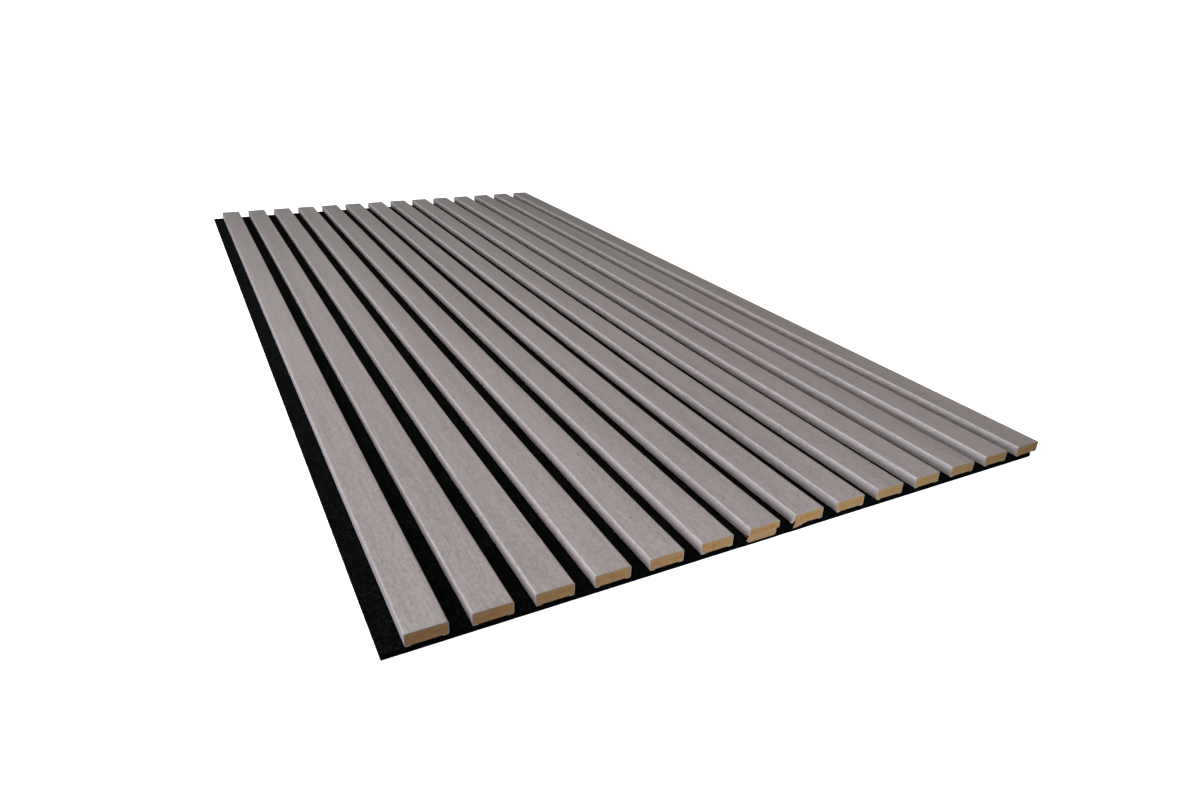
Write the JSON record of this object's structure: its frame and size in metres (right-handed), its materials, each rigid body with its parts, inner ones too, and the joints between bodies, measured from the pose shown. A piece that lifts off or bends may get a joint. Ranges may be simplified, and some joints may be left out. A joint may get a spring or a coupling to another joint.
{
  "type": "acoustic panel",
  "caption": "Flat acoustic wall panel: parallel foil-wrapped fibreboard slats with rounded edges, spaced on a black felt backing, with bare board showing at the slat ends.",
  "frame": {"origin": "middle of the felt's back face, under the middle of the panel's outline", "axes": "+X across the slats away from the bare felt strip, +Y along the slats, +Z out of the panel's face"},
  "size_m": [0.602, 1.2, 0.015],
  "materials": {
    "slat_foil": "satin wood-grain decor foil, greyed oak",
    "slat_core": "bare sawn fibreboard",
    "felt": "pressed black felt"
  },
  "bodies": {
    "root": {"felt_backing": "felt", "slat_core_01": "slat_core", "slat_core_02": "slat_core", "slat_core_03": "slat_core", "slat_core_04": "slat_core", "slat_core_05": "slat_core", "slat_core_06": "slat_core", "slat_core_07": "slat_core", "slat_core_08": "slat_core", "slat_core_09": "slat_core", "slat_core_10": "slat_core", "slat_core_11": "slat_core", "slat_core_12": "slat_core", "slat_core_13": "slat_core", "slat_core_14": "slat_core", "slat_foil_01": "slat_foil", "slat_foil_02": "slat_foil", "slat_foil_03": "slat_foil", "slat_foil_04": "slat_foil", "slat_foil_05": "slat_foil", "slat_foil_06": "slat_foil", "slat_foil_07": "slat_foil", "slat_foil_08": "slat_foil", "slat_foil_09": "slat_foil", "slat_foil_10": "slat_foil", "slat_foil_11": "slat_foil", "slat_foil_12": "slat_foil", "slat_foil_13": "slat_foil", "slat_foil_14": "slat_foil"}
  },
  "joints": []
}
